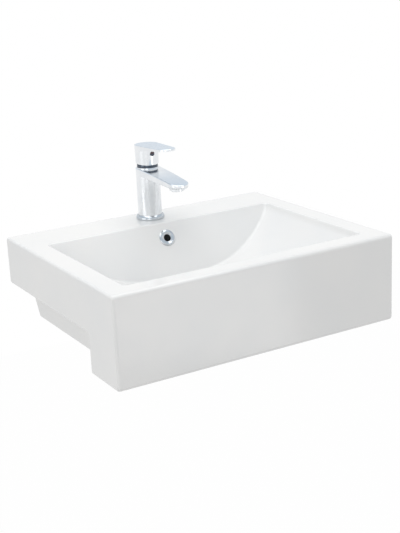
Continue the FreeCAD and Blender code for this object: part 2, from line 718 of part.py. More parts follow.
def plug_cap():
    """Crowned cap with a hub that screws over the stem and a groove for the seal."""
    edge = CAP_Z + 0.5 * PLUG_CAP_THICK
    top = CAP_Z + PLUG_CAP_THICK
    hub_foot = CAP_Z - 1.5 * PLUG_SEAL_THICK
    bore = STEM_RADIUS + STEM_FIT
    crown_edge = 0.9 * PLUG_CAP_RADIUS
    crown_z = top + PLUG_CAP_CROWN
    ball = (crown_edge ** 2 + PLUG_CAP_CROWN ** 2) / (2 * PLUG_CAP_CROWN)
    ball_centre = crown_z - ball
    return turned(
        WASTE_AXIS,
        V(0, 0, CAP_Z),
        V(bore, 0, CAP_Z),
        V(bore, 0, hub_foot),
        V(PLUG_HUB_RADIUS, 0, hub_foot),
        V(PLUG_HUB_RADIUS, 0, CAP_Z),
        V(PLUG_CAP_RADIUS - 0.5 * PLUG_CAP_THICK, 0, CAP_Z),
        V(PLUG_CAP_RADIUS, 0, edge),
        (V(0.97 * PLUG_CAP_RADIUS, 0, top - 0.15 * PLUG_CAP_THICK), V(crown_edge, 0, top)),
        (V(crown_edge / 2, 0, ball_centre + math.sqrt(ball ** 2 - (crown_edge / 2) ** 2)), V(0, 0, crown_z)),
    )


def plug_seal():
    inner = PLUG_SEAL_RADIUS - PLUG_SEAL_WIDTH
    return ring(PLUG_SEAL_RADIUS, inner, WASTE_AXIS, CAP_Z - PLUG_SEAL_THICK, CAP_Z)


# Tap body

BODY_Z = RIM_Z + BASE_SEAL_THICK
SPOUT_BACK_Z = RIM_Z + SPOUT_BACK_HEIGHT
TURRET_Z = RIM_Z + TURRET_HEIGHT
TIP_Y = TAP_Y - SPOUT_REACH
CHAMBER_Z = PIVOT_Z - CHAMBER_HEIGHT
NUT_SEAT_Z = PIVOT_Z - HOUSING_ROOF_DROP
AERATOR_Y = TIP_Y + AERATOR_OFFSET
AERATOR_AXIS = V(0, AERATOR_Y, 0)
STUD_Y = TAP_Y - STUD_OFFSET


def spout_arc():
    """Centre (y, z) and radius of the spout's top, a slow arc that falls towards the tip."""
    root, tip = math.radians(SPOUT_ROOT_SLOPE), math.radians(SPOUT_TIP_SLOPE)
    radius = (TAP_RADIUS + SPOUT_REACH) / (math.sin(tip) - math.sin(root))
    back = TAP_Y + TAP_RADIUS
    return back + radius * math.sin(root), SPOUT_BACK_Z - radius * math.cos(root), radius


def spout_top_z(y, sunk=0.0):
    centre_y, centre_z, radius = spout_arc()
    return centre_z + math.sqrt((radius - sunk) ** 2 - (y - centre_y) ** 2)


def spout_top(y, sunk=0.0):
    return V(0, y, spout_top_z(y, sunk))


def below_spout_top(low, y0, y1):
    """Slab across the tap from a level up to the spout's top arc."""
    wire = outline(
        V(0, y0, low), V(0, y1, low), spout_top(y1), (spout_top((y0 + y1) / 2), spout_top(y0)),
    )
    return prism(wire.translated(V(-REACH / 2, 0, 0)), V(REACH, 0, 0))


def tapered_plan(root_radius, reach, tip_radius):
    """Plan of an arm from the tap axis to a round tip, its sides tangent to both ends."""
    length = reach - tip_radius
    lean = math.asin((root_radius - tip_radius) / length)
    wide, ahead = math.cos(lean), math.sin(lean)
    right = [
        V(root_radius * wide, TAP_Y - root_radius * ahead, RIM_Z),
        V(tip_radius * wide, TAP_Y - length - tip_radius * ahead, RIM_Z),
    ]
    left = [V(-p.x, p.y, p.z) for p in right]
    return outline(left[0], left[1], (V(0, TAP_Y - reach, RIM_Z), right[1]), right[0])


def spout_arm():
    """Flat spout: its side profile cut to a tapering plan with a round tip."""
    root = TAP_Y
    past = TIP_Y - SPOUT_TIP_RADIUS
    left = X_AXIS * (-REACH / 2)
    side = outline(
        left + V(0, root, spout_under_z(root)),
        left + V(0, past, spout_under_z(past)),
        left + spout_top(past),
        (left + spout_top((root + past) / 2), left + spout_top(root)),
    )
    plan = tapered_plan(TAP_RADIUS, SPOUT_REACH, SPOUT_TIP_RADIUS)
    arm = prism(side, V(REACH, 0, 0)).common(prism(plan, V(0, 0, REACH)))

    def is_top_edge(edge):
        p = middle_of(edge)
        return abs(p.z - spout_top_z(p.y)) < 1e-3 and abs(p.y - root) > TAP_RADIUS / 2

    def is_under_edge(edge):
        p = middle_of(edge)
        return abs(p.z - spout_under_z(p.y)) < 1e-3 and abs(p.y - root) > TAP_RADIUS / 2
    arm = rounded_edges(arm, SPOUT_EDGE_ROUND, is_top_edge)
    return rounded_edges(arm, SPOUT_NOSE_ROUND, is_under_edge)


def water_channel():
    """Way through the spout under its top, from the riser to the aerator."""
    y0 = TAP_Y - RISER_OFFSET + RISER_RADIUS
    y1 = AERATOR_Y - RISER_RADIUS
    low = CHANNEL_ROOF + CHANNEL_HEIGHT
    middle = (y0 + y1) / 2
    wire = outline(
        spout_top(y0, low),
        (spout_top(middle, low), spout_top(y1, low)),
        spout_top(y1, CHANNEL_ROOF),
        (spout_top(middle, CHANNEL_ROOF), spout_top(y0, CHANNEL_ROOF)),
    )
    return prism(wire.translated(V(-CHANNEL_WIDTH / 2, 0, 0)), V(CHANNEL_WIDTH, 0, 0))


def waterways():
    """Inlets up to the cartridge, its outlet, the riser and the spout channel."""
    outlet_y = TAP_Y - OUTLET_OFFSET
    riser_y = TAP_Y - RISER_OFFSET
    foot = CHAMBER_Z - RISER_FOOT
    ways = upright(RISER_RADIUS, 0, outlet_y, foot, CHAMBER_Z)
    ways = ways.fuse(box(-RISER_RADIUS, RISER_RADIUS, riser_y, outlet_y, foot, foot + RISER_RADIUS))
    riser_top = spout_top_z(riser_y, CHANNEL_ROOF + RISER_RADIUS)
    ways = ways.fuse(upright(RISER_RADIUS, 0, riser_y, foot, riser_top))
    for side in (-1, 1):
        x, y = side * INLET_SPREAD, TAP_Y + INLET_SETBACK
        ways = ways.fuse(upright(INLET_RADIUS, x, y, BODY_Z, BODY_Z + INLET_DEPTH))
        ways = ways.fuse(upright(PORT_RADIUS, x, y, BODY_Z, CHAMBER_Z))
    drop = AERATOR_RADIUS - 2 * AERATOR_WALL
    drop_top = spout_top_z(AERATOR_Y - drop, CHANNEL_ROOF)
    ways = ways.fuse(upright(drop, 0, AERATOR_Y, AERATOR_TOP_Z - AERATOR_WASHER_THICK, drop_top))
    return ways.fuse(water_channel())


def aerator_seat():
    """Bore in the spout's boss for the washer and the aerator."""
    foot = spout_under_z(AERATOR_Y) - AERATOR_BOSS_HEIGHT
    return upright(AERATOR_RADIUS + AERATOR_THREAD_FIT, 0, AERATOR_Y, foot, AERATOR_TOP_Z)


def spout_under_z(y):
    """Underside of the spout at a distance from the wall."""
    mouth = TAP_Y - TAP_RADIUS
    root_low = spout_top_z(mouth) - SPOUT_ROOT_THICK
    tip_low = spout_top_z(TIP_Y) - SPOUT_TIP_THICK
    return tip_low + (root_low - tip_low) * (y - TIP_Y) / (mouth - TIP_Y)


AERATOR_FOOT_Z = spout_under_z(AERATOR_Y) - AERATOR_BOSS_HEIGHT - AERATOR_PROUD
AERATOR_TOP_Z = AERATOR_FOOT_Z + AERATOR_HEIGHT + AERATOR_WASHER_THICK


def tap_body():
    """Round body with the flat spout, a turret for the cartridge and an aerator boss."""
    column = upright(TAP_RADIUS, 0, TAP_Y, BODY_Z, SPOUT_BACK_Z + TAP_RADIUS)
    column = column.common(below_spout_top(BODY_Z, TAP_Y + 2 * TAP_RADIUS, TAP_Y - 2 * TAP_RADIUS))

    def is_top_edge(edge):
        p = middle_of(edge)
        return abs(p.z - spout_top_z(p.y)) < 1e-3
    column = rounded_edges(column, SPOUT_EDGE_ROUND, is_top_edge)
    body = column.fuse(spout_arm()).removeSplitter()
    boss_foot = spout_under_z(AERATOR_Y) - AERATOR_BOSS_HEIGHT
    body = body.fuse(upright(AERATOR_BOSS_RADIUS, 0, AERATOR_Y, boss_foot, AERATOR_TOP_Z))
    body = body.fuse(upright(TURRET_RADIUS, 0, TAP_Y, SPOUT_BACK_Z - TAP_RADIUS, TURRET_Z))
    chamber = CARTRIDGE_RADIUS + CHAMBER_FIT
    body = body.cut(upright(chamber, 0, TAP_Y, CHAMBER_Z, TURRET_Z))
    body = body.cut(upright(NUT_RADIUS + THREAD_FIT, 0, TAP_Y, NUT_SEAT_Z - NUT_ROOM, TURRET_Z))
    body = body.cut(upright(STUD_RADIUS + STUD_FIT, 0, STUD_Y, BODY_Z, BODY_Z + STUD_SUNK))
    return body.cut(waterways()).cut(aerator_seat())


def tap_base_ring():
    """Bulged trim ring round the foot of the tap, over the rubber seal."""
    bore = TAP_RADIUS + BASE_RING_FIT
    lip = BASE_RING_RADIUS - BASE_RING_LIP
    top = RIM_Z + BASE_RING_HEIGHT
    belly = RIM_Z + 0.3 * BASE_RING_HEIGHT
    return turned(
        TAP_AXIS,
        V(lip, 0, RIM_Z),
        V(BASE_RING_RADIUS - 0.4, 0, RIM_Z),
        V(BASE_RING_RADIUS, 0, belly),
        (V(bore + 0.65 * (BASE_RING_RADIUS - bore), 0, RIM_Z + 0.78 * BASE_RING_HEIGHT),
         V(bore + 0.6, 0, top)),
        V(bore, 0, top),
        V(bore, 0, BODY_Z),
        V(lip, 0, BODY_Z),
    )


def tap_base_seal():
    lip = BASE_RING_RADIUS - BASE_RING_LIP
    return ring(lip - BASE_RING_FIT, TAP_HOLE_RADIUS + 0.5, TAP_AXIS, RIM_Z, BODY_Z)


def aerator_housing():
    """Screwed ring with an inner ledge that carries the insert."""
    top = AERATOR_FOOT_Z + AERATOR_HEIGHT
    ledge = AERATOR_FOOT_Z + AERATOR_HEIGHT - AERATOR_INSERT_HEIGHT
    bore = AERATOR_RADIUS - AERATOR_WALL
    return turned(
        AERATOR_AXIS,
        V(bore - AERATOR_WALL, 0, AERATOR_FOOT_Z),
        V(AERATOR_RADIUS - 0.5, 0, AERATOR_FOOT_Z),
        V(AERATOR_RADIUS, 0, AERATOR_FOOT_Z + 0.5),
        V(AERATOR_RADIUS, 0, top),
        V(bore, 0, top),
        V(bore, 0, ledge),
        V(bore - AERATOR_WALL, 0, ledge),
    )


def aerator_insert():
    """Strainer disc with rings of holes."""
    top = AERATOR_FOOT_Z + AERATOR_HEIGHT
    radius = AERATOR_RADIUS - AERATOR_WALL - AERATOR_INSERT_FIT
    disc = upright(radius, 0, AERATOR_Y, top - AERATOR_INSERT_HEIGHT, top)
    for count, ring_radius in AERATOR_HOLE_RINGS:
        for i in range(count):
            angle = 2 * math.pi * i / count
            x, y = ring_radius * math.cos(angle), AERATOR_Y + ring_radius * math.sin(angle)
            disc = disc.cut(upright(AERATOR_HOLE_RADIUS, x, y, top - AERATOR_INSERT_HEIGHT, top))
    return disc


def aerator_washer():
    top = AERATOR_FOOT_Z + AERATOR_HEIGHT
    inner = AERATOR_RADIUS - 2 * AERATOR_WALL
    return ring(AERATOR_RADIUS, inner, AERATOR_AXIS, top, AERATOR_TOP_Z)


# Cartridge

BASE_TOP_Z = CHAMBER_Z + CARTRIDGE_BASE_THICK
DISC_TOP_Z = BASE_TOP_Z + DISC_THICK
MOVING_TOP_Z = DISC_TOP_Z + MOVING_DISC_THICK
LIFT_RANGE = 22.0  # degrees, closed to full flow
DISC_TRAVEL = FINGER_DROP * math.sin(math.radians(LIFT_RANGE))
DISC_AXIS = V(0, TAP_Y + DISC_TRAVEL / 2, 0)


def port_places():
    return [
        V(-INLET_SPREAD, TAP_Y + INLET_SETBACK, 0),
        V(INLET_SPREAD, TAP_Y + INLET_SETBACK, 0),
        V(0, TAP_Y - OUTLET_OFFSET, 0),
    ]


def cartridge_base():
    """Plastic foot of the cartridge with three ports and a pocket for each seal."""
    base = upright(CARTRIDGE_RADIUS, 0, TAP_Y, CHAMBER_Z, BASE_TOP_Z)
    for place in port_places():
        base = base.cut(upright(PORT_RADIUS, place.x, place.y, CHAMBER_Z, BASE_TOP_Z))
        base = base.cut(upright(PORT_SEAL_RADIUS, place.x, place.y, CHAMBER_Z, CHAMBER_Z + PORT_SEAL_THICK))
    return base


def port_seals():
    top = CHAMBER_Z + PORT_SEAL_THICK
    seals = [ring(PORT_SEAL_RADIUS, PORT_RADIUS, p, CHAMBER_Z, top) for p in port_places()]
    return Part.makeCompound(seals)


def fixed_disc():
    disc = upright(DISC_RADIUS, 0, TAP_Y, BASE_TOP_Z, DISC_TOP_Z)
    for place in port_places():
        disc = disc.cut(upright(PORT_RADIUS, place.x, place.y, BASE_TOP_Z, DISC_TOP_Z))
    return disc


def moving_disc():
    """Sliding ceramic disc with the mixing pocket in its lapped underside."""
    disc = upright(MOVING_DISC_RADIUS, DISC_AXIS.x, DISC_AXIS.y, DISC_TOP_Z, MOVING_TOP_Z)
    pocket = 0.6 * MOVING_DISC_RADIUS
    return disc.cut(upright(pocket, 0, DISC_AXIS.y, DISC_TOP_Z, DISC_TOP_Z + MIXING_POCKET_DEPTH))


def disc_carrier():
    """Carrier on the moving disc with a slot for the lever's finger."""
    top = PIVOT_Z - CARRIER_TOP_DROP
    slot_floor = PIVOT_Z - FINGER_DROP - FINGER_RADIUS - CARRIER_SLOT_FLOOR
    half_x = BLADE_THICK / 2 + BLADE_SIDE_ROOM
    half_y = FINGER_RADIUS + FINGER_ROOM
    carrier = upright(MOVING_DISC_RADIUS, DISC_AXIS.x, DISC_AXIS.y, MOVING_TOP_Z, top)
    return carrier.cut(box(-half_x, half_x, TAP_Y - half_y, TAP_Y + half_y, slot_floor, top))


def cartridge_housing():
    """Plastic sleeve round the discs with a shoulder for the nut and a neck for the rotor."""
    shoulder = PIVOT_Z - HOUSING_ROOF_DROP
    neck = PIVOT_Z - HOUSING_NECK_DROP
    bore = ROTOR_RADIUS + ROTOR_FIT
    return turned(
        TAP_AXIS,
        V(HOUSING_BORE_RADIUS, 0, BASE_TOP_Z),
        V(CARTRIDGE_RADIUS, 0, BASE_TOP_Z),
        V(CARTRIDGE_RADIUS, 0, shoulder),
        V(HOUSING_NECK_RADIUS, 0, shoulder),
        V(HOUSING_NECK_RADIUS, 0, neck),
        V(bore, 0, neck),
        V(bore, 0, shoulder - HOUSING_ROOF),
        V(HOUSING_BORE_RADIUS, 0, shoulder - HOUSING_ROOF),
    )


def cartridge_rotor():
    """Turning guide with a slot for the lever's blade and a cross hole for its pin."""
    foot = PIVOT_Z - ROTOR_FOOT_DROP
    head = PIVOT_Z + ROTOR_HEAD_RISE
    half_x = BLADE_THICK / 2 + BLADE_SIDE_ROOM
    half_y = ROTOR_SLOT_LENGTH / 2
    rotor = upright(ROTOR_RADIUS, 0, TAP_Y, foot, head)
    rotor = rotor.cut(box(-half_x, half_x, TAP_Y - half_y, TAP_Y + half_y, foot, head))
    return rotor.cut(rod(LEVER_PIN_RADIUS, PIVOT - X_AXIS * ROTOR_RADIUS, X_AXIS, 2 * ROTOR_RADIUS))


def lever_pin():
    length = 1.9 * ROTOR_RADIUS
    return rod(LEVER_PIN_RADIUS, PIVOT - X_AXIS * (length / 2), X_AXIS, length)


def lever_spindle():
    """Rocking lever: a blade on the pin, a round finger below and a square stub above."""
    half_x = BLADE_THICK / 2
    finger_z = PIVOT_Z - FINGER_DROP
    neck_top = PIVOT_Z - 0.6 * FINGER_DROP
    blade_top = PIVOT_Z + STUB_START
    wide = BLADE_WIDTH / 2
    thin = FINGER_NECK / 2
    side = outline(
        V(-half_x, TAP_Y - thin, finger_z),
        V(-half_x, TAP_Y - thin, neck_top),
        V(-half_x, TAP_Y - wide, PIVOT_Z - 0.35 * FINGER_DROP),
        V(-half_x, TAP_Y - wide, blade_top),
        V(-half_x, TAP_Y + wide, blade_top),
        V(-half_x, TAP_Y + wide, PIVOT_Z - 0.35 * FINGER_DROP),
        V(-half_x, TAP_Y + thin, neck_top),
        V(-half_x, TAP_Y + thin, finger_z),
    )
    spindle = prism(side, V(BLADE_THICK, 0, 0))
    spindle = spindle.fuse(rod(FINGER_RADIUS, V(-half_x, TAP_Y, finger_z), X_AXIS, BLADE_THICK))
    half = STUB_SIZE / 2
    spindle = spindle.fuse(box(-half, half, TAP_Y - half, TAP_Y + half, blade_top, PIVOT_Z + STUB_END))
    hole = rod(LEVER_PIN_RADIUS + LEVER_PIN_FIT, PIVOT - X_AXIS * BLADE_THICK, X_AXIS, 2 * BLADE_THICK)
    return spindle.removeSplitter().cut(hole)


def cartridge_nut():
    """Ring nut over the housing's neck with four spanner slots."""
    top = NUT_SEAT_Z + NUT_HEIGHT
    nut = ring(NUT_RADIUS, HOUSING_NECK_RADIUS + THREAD_FIT, TAP_AXIS, NUT_SEAT_Z, top)
    half = NUT_SLOT_WIDTH / 2
    for angle in (0, 90):
        slot = box(-2 * NUT_RADIUS, 2 * NUT_RADIUS, -half, half, top - NUT_SLOT_DEPTH, top)
        nut = nut.cut(slot.rotated(V(0, 0, 0), Z_AXIS, angle).translated(TAP_AXIS))
    return nut


# Dome and handle

def dress_dome():
    """Chrome dome over the nut, a zone of a sphere about the lever pin."""
    inner = DOME_RADIUS - DOME_WALL
    foot = TURRET_Z - PIVOT_Z
    mouth = math.sqrt(DOME_RADIUS ** 2 - DOME_MOUTH_RADIUS ** 2)
    ball = Part.makeSphere(DOME_RADIUS, PIVOT).cut(Part.makeSphere(inner, PIVOT))
    zone = box(-REACH, REACH, TAP_Y - REACH, TAP_Y + REACH, PIVOT_Z + foot, PIVOT_Z + mouth)
    dome = ball.common(zone)
    lip = ring(math.sqrt(DOME_RADIUS ** 2 - foot ** 2) - DOME_WALL / 2, NUT_RADIUS + THREAD_FIT, TAP_AXIS,
               TURRET_Z, TURRET_Z + DOME_LIP_THICK)
    return dome.fuse(lip).removeSplitter()


def lever_top_z(y):
    return RIM_Z + HANDLE_TOP_HEIGHT + (TAP_Y - y) * math.tan(math.radians(LEVER_RISE))


def handle_radius(z):
    """Radius of the handle's tapered base at a height."""
    low, high = RIM_Z + HANDLE_RIM_FRONT, RIM_Z + HANDLE_TOP_HEIGHT
    return HANDLE_RIM_RADIUS + (HANDLE_TOP_RADIUS - HANDLE_RIM_RADIUS) * (z - low) / (high - low)


def handle_base():
    """Tapered round base, cut level with the lever's top and slanted at the rim."""
    low = RIM_Z + HANDLE_RIM_FRONT - HANDLE_RIM_RADIUS
    high = RIM_Z + HANDLE_TOP_HEIGHT + HANDLE_RIM_RADIUS
    cone = Part.makeCone(handle_radius(low), handle_radius(high), high - low, V(0, TAP_Y, low), Z_AXIS)
    front, rear = TAP_Y - HANDLE_RIM_RADIUS, TAP_Y + HANDLE_RIM_RADIUS
    slope = (HANDLE_RIM_REAR - HANDLE_RIM_FRONT) / (rear - front)
    y0, y1 = front - HANDLE_RIM_RADIUS, rear + HANDLE_RIM_RADIUS
    side = outline(
        V(-REACH / 2, y0, RIM_Z + HANDLE_RIM_FRONT + slope * (y0 - front)),
        V(-REACH / 2, y1, RIM_Z + HANDLE_RIM_FRONT + slope * (y1 - front)),
        V(-REACH / 2, y1, lever_top_z(y1)),
        V(-REACH / 2, y0, lever_top_z(y0)),
    )
    base = cone.common(prism(side, V(REACH, 0, 0)))

    def is_top_edge(edge):
        p = middle_of(edge)
        return abs(p.z - lever_top_z(p.y)) < 1e-4
    return rounded_edges(base, HANDLE_EDGE_ROUND, is_top_edge)


def lever_paddle():
    """Thin paddle with an arched underside, a tapering plan and a round tip."""
    tip = TAP_Y - LEVER_REACH
    root = TAP_Y - HANDLE_RIM_RADIUS
    start = TAP_Y
    left = -REACH / 2
    bend = (root + tip) / 2
    bend_thick = 0.4 * LEVER_ROOT_THICK + 0.6 * LEVER_TIP_THICK
    side = outline(
        V(left, start, lever_top_z(start) - LEVER_ROOT_THICK),
        V(left, root, lever_top_z(root) - LEVER_ROOT_THICK),
        (V(left, bend, lever_top_z(bend) - bend_thick), V(left, tip, lever_top_z(tip) - LEVER_TIP_THICK)),
        V(left, tip, lever_top_z(tip)),
        V(left, start, lever_top_z(start)),
    )
    plan = tapered_plan(handle_radius(lever_top_z(start)), LEVER_REACH, LEVER_TIP_RADIUS)
    paddle = prism(side, V(REACH, 0, 0)).common(prism(plan, V(0, 0, REACH)))

    def is_top_edge(edge):
        p = middle_of(edge)
        return abs(p.z - lever_top_z(p.y)) < 1e-4 and abs(p.y - start) > HANDLE_RIM_RADIUS / 2
    return rounded_edges(paddle, HANDLE_EDGE_ROUND, is_top_edge)


def handle():
    body = handle_base().fuse(lever_paddle()).removeSplitter()
    room = DOME_RADIUS + HANDLE_SKIRT_ROOM
    body = body.cut(Part.makeSphere(room, PIVOT)).cut(upright(room, 0, TAP_Y, PIVOT_Z - room, PIVOT_Z))
    half = STUB_SIZE / 2 + STUB_FIT
    body = body.cut(box(-half, half, TAP_Y - half, TAP_Y + half, PIVOT_Z, PIVOT_Z + STUB_END + STUB_FIT))
    screw = screw_start()
    body = body.cut(rod(SCREW_RADIUS + SCREW_FIT, V(0, TAP_Y, screw.z), -Y_AXIS, HANDLE_TOP_RADIUS))
    depth = 2 * HANDLE_TOP_RADIUS
    return body.cut(rod(INDEX_RADIUS + INDEX_FIT, index_start(), -Y_AXIS, depth))


def screw_start():
    """Where the grub screw's point bears on the square stub."""
    return V(0, TAP_Y - STUB_SIZE / 2 - STUB_FIT, PIVOT_Z + SCREW_RISE)


def handle_face_y():
    """Front of the handle's base at the height of the grub screw."""
    return TAP_Y - handle_radius(PIVOT_Z + SCREW_RISE)


def index_start():
    return V(0, handle_face_y() + INDEX_DEPTH, PIVOT_Z + SCREW_RISE)


def handle_screw():
    """Socket grub screw with a hexagon key hole."""
    start = screw_start()
    screw = rod(SCREW_RADIUS, start, -Y_AXIS, SCREW_LENGTH)
    key = hexagon(SCREW_KEY_FLATS, V(0, 0, 0), 0, SCREW_LENGTH / 2)
    key.rotate(V(0, 0, 0), X_AXIS, 90)
    key.translate(start - Y_AXIS * (SCREW_LENGTH / 2))
    return screw.cut(key)


def index_plug():
    """Push-in plug that hides the grub screw and marks hot and cold."""
    face = handle_face_y()
    start = index_start()
    return rod(INDEX_RADIUS, start, -Y_AXIS, start.y - face)


# Fixing under the deck

GASKET_Z = DECK_UNDER_Z - GASKET_THICK
PLATE_Z = GASKET_Z - PLATE_THICK


def horseshoe(z0, z1):
    """Plate on the stud with a mouth at the back for the two hoses."""
    plate = upright(HORSESHOE_RADIUS, 0, TAP_Y, z0, z1)
    mouth_y = TAP_Y + HORSESHOE_MOUTH_SETBACK
    plate = plate.cut(upright(HORSESHOE_MOUTH_RADIUS, 0, mouth_y, z0, z1))
    half = HORSESHOE_GAP / 2
    plate = plate.cut(box(-half, half, mouth_y, mouth_y + 2 * HORSESHOE_RADIUS, z0, z1))
    return plate.cut(upright(STUD_RADIUS + STUD_FIT, 0, STUD_Y, z0, z1))


def horseshoe_gasket():
    return horseshoe(GASKET_Z, DECK_UNDER_Z)


def horseshoe_plate():
    return horseshoe(PLATE_Z, GASKET_Z)


def fixing_stud():
    top = BODY_Z + STUD_SUNK
    return upright(STUD_RADIUS, 0, STUD_Y, top - STUD_LENGTH, top)


def stud_nut():
    centre = V(0, STUD_Y, 0)
    nut = hexagon(STUD_NUT_FLATS, centre, PLATE_Z - STUD_NUT_HEIGHT, PLATE_Z)
    return nut.cut(upright(STUD_RADIUS + STUD_FIT, 0, STUD_Y, PLATE_Z - STUD_NUT_HEIGHT, PLATE_Z))


PIECES = (
    basin_body, overflow_ring,
    waste_body, flange_seal, lower_seal, slip_washer, back_nut,
    click_barrel, click_spring, plug_stem, plug_cap, plug_seal,
    tap_body, tap_base_ring, tap_base_seal,
    aerator_housing, aerator_insert, aerator_washer,
    cartridge_base, port_seals, fixed_disc, moving_disc, disc_carrier,
    cartridge_housing, cartridge_rotor, lever_pin, lever_spindle, cartridge_nut,
    dress_dome, handle, handle_screw, index_plug,
    fixing_stud, horseshoe_gasket, horseshoe_plate, stud_nut,
)

os.makedirs("parts", exist_ok=True)
for piece in PIECES:
    shape = piece()
    shape.exportStep("parts/" + piece.__name__ + ".step")
    print(piece.__name__, len(shape.Solids), shape.isValid(), round(shape.Volume / 1000, 2), "cm3")
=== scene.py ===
# Semi-recessed china basin with a single-lever mixer tap and a push-open waste.
# Metres, in the part's own frame: X along the wall, Y into the wall, Z up.

import json
import math

import bpy
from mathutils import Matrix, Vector


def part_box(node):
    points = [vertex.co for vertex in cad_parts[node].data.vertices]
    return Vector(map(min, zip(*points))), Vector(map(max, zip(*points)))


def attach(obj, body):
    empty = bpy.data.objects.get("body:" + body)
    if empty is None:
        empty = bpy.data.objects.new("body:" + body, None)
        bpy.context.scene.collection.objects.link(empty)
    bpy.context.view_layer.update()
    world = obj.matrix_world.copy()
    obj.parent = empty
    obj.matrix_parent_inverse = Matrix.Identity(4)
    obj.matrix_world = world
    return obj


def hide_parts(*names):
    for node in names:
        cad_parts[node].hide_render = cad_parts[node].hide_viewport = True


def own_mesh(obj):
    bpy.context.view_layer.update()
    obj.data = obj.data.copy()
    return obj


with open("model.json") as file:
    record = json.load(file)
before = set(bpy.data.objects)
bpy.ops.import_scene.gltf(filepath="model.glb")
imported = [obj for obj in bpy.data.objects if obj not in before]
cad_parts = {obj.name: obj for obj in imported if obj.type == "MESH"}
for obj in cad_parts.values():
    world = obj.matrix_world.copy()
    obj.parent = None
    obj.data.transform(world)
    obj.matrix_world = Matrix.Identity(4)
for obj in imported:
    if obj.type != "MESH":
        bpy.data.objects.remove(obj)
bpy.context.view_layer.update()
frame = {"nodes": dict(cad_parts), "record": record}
nodes = frame["nodes"]
waste_tail = next(mount for mount in frame["record"]["mounts"] if mount["name"] == "waste_tail")

MM = 0.001

# Overflow duct, in the china behind the bowl, whose inside is painted dark as shade
RIM_Z = 0.045
BACK_DECK = 0.100  # wall to the bowl
BACK_SLANT = 29.0  # degrees, the bowl's back wall from upright
DUCT_HALF = 0.0155  # half its width
DUCT_NEAR = 0.006  # its front and back, behind the bowl's back face
DUCT_FAR = 0.0225
DECK_UNDER_Z = 0.030  # its top

# Handle, as it differs from the solid
LEVER_RAISE = 0.003  # higher on the tap's axis
LEVER_DROP = 0.005  # lower at the tip
LEVER_EASE = 0.002  # height over which the change sets in
LEVER_CLEAR = 0.0005  # where it starts, above the index plug

# Threads and spring
WASTE_Y = waste_tail["pos_m"][1]
TAIL_RADIUS = waste_tail["dims"]["r_mm"] * MM
TAIL_LENGTH = waste_tail["dims"]["length_mm"] * MM
TAIL_PITCH = 0.0254 / 11  # eleven turns to the inch
TAIL_ROOT_STEP = -0.05 * MM  # the thread's root, crest and bore, from the plain tail's radius
TAIL_CREST_STEP = 0.3 * MM
TAIL_BORE_STEP = -0.6 * MM
TAIL_LOW_GAP = 1.5 * MM  # plain tail left below and above the thread
TAIL_HIGH_GAP = 2 * MM
STUD_PITCH = 0.00125
STUD_DEPTH = 0.61  # depth of the stud's thread, as a share of its pitch
CREST_LOW = 0.44  # a tooth's flat crest, as shares of the pitch
CREST_HIGH = 0.56
SPRING_WIRE = 0.00045  # wire radius
SPRING_TURNS = 6
WIRE_SIDES = 12
TURN_STEPS = 36  # steps in one turn of a helix

# Shading of edges, angles in degrees
CRISP_ANGLE = 32
THREAD_ANGLE = 25
WIRE_ANGLE = 50
FACE_WEIGHT = 80  # how much large faces rule the shading beside them

# How close points are to count as one
WELD_GAP = 0.01 * MM
MERGE_GAP = 0.001 * MM
LEVEL_GAP = 1e-7

# Sizes of the surface grains
GLAZE_WAVE = 0.030
GLAZE_CLOUD = 0.120
BISQUE_GRIT = 0.004
INDEX_SKIN = 0.0008
INDEX_BLEND = 0.6 * MM  # half the height over which the index plug's two tints meet

# Ranges that a Map Range node turns into 0 to 1
NOISE_SPAN = {"From Min": 0.3, "From Max": 0.7}  # most of a noise texture's values
FACING_DOWN = {"From Min": -0.8, "From Max": -0.95}  # Z of a face's normal
FACING_BACK = {"From Min": 0.94, "From Max": 0.985}  # Y of a face's normal
NEAR_WALL = {"From Min": -4 * MM, "From Max": -1 * MM}  # Y of a place
STRIP_FOOT = {"From Min": -0.10, "From Max": -0.04}  # Z of a mirrored ray
STRIP_HEAD = {"From Min": 0.20, "From Max": 0.14}
CEILING_EDGE = {"From Min": 0.32, "From Max": 0.42}

# The Mix node's sockets, for numbers and for colours
NUMBER_A, NUMBER_B, NUMBER_OUT = 2, 3, 0
COLOUR_A, COLOUR_B, COLOUR_OUT = 6, 7, 2

# Stage and camera
FLOOR_Z = -3.0  # low enough to look up under the basin
FLOOR_SIZE = 14
FLOOR_WHITE = 0.985  # share of pure white in what the eye sees of the floor
AMBIENT = 0.58
LENS_MM = 74.69
SENSOR_MM = 36.0
EYE_PLACE = (-0.9616, -1.8935, 0.5767)
EYE_TURN = (72.969, 2.567, -30.874)  # degrees


def srgb(code):
    """Linear colour of an sRGB hex value."""
    channels = [int(code[i:i + 2], 16) / 255 for i in (1, 3, 5)]
    linear = [c / 12.92 if c <= 0.04045 else ((c + 0.055) / 1.055) ** 2.4 for c in channels]
    return (*linear, 1.0)


def add_node(tree, kind, settings=None, links=None):
    """Add a shader node, set its properties and inputs, and link its inputs."""
    made = tree.nodes.new(kind)
    for name, value in (settings or {}).items():
        if isinstance(name, int) or name in made.inputs:
            made.inputs[name].default_value = value
        else:
            setattr(made, name, value)
    for name, socket in (links or {}).items():
        tree.links.new(socket, made.inputs[name])
    return made


def blank_material(name):
    """A new material with an empty tree and an output."""
    material = bpy.data.materials.new(name)
    material.use_nodes = True
    tree = material.node_tree
    tree.nodes.clear()
    return material, tree, tree.nodes.new("ShaderNodeOutputMaterial")


# China, metal, rubber and plastic finishes

